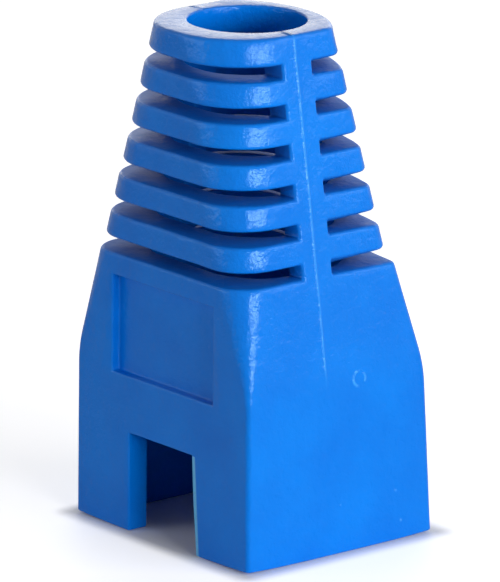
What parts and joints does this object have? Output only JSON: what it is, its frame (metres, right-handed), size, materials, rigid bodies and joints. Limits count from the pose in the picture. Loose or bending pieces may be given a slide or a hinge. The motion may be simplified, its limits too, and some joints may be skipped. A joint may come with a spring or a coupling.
{
  "type": "cable strain relief boot",
  "caption": "Hollow square-mouthed boot for the back of a modular data plug, tapering to a slotted ring neck that grips and bends with a round cable.",
  "frame": {"origin": "middle of the mouth's outline, on the plane of its rim", "axes": "+Z from the mouth to the cable end, -Y out of the side with the latch notch, X across the plug"},
  "size_m": [0.0142, 0.0126, 0.0272],
  "materials": {
    "soft_pvc": "satin moulded soft PVC"
  },
  "bodies": {
    "root": {"boot": "soft_pvc"}
  },
  "joints": []
}
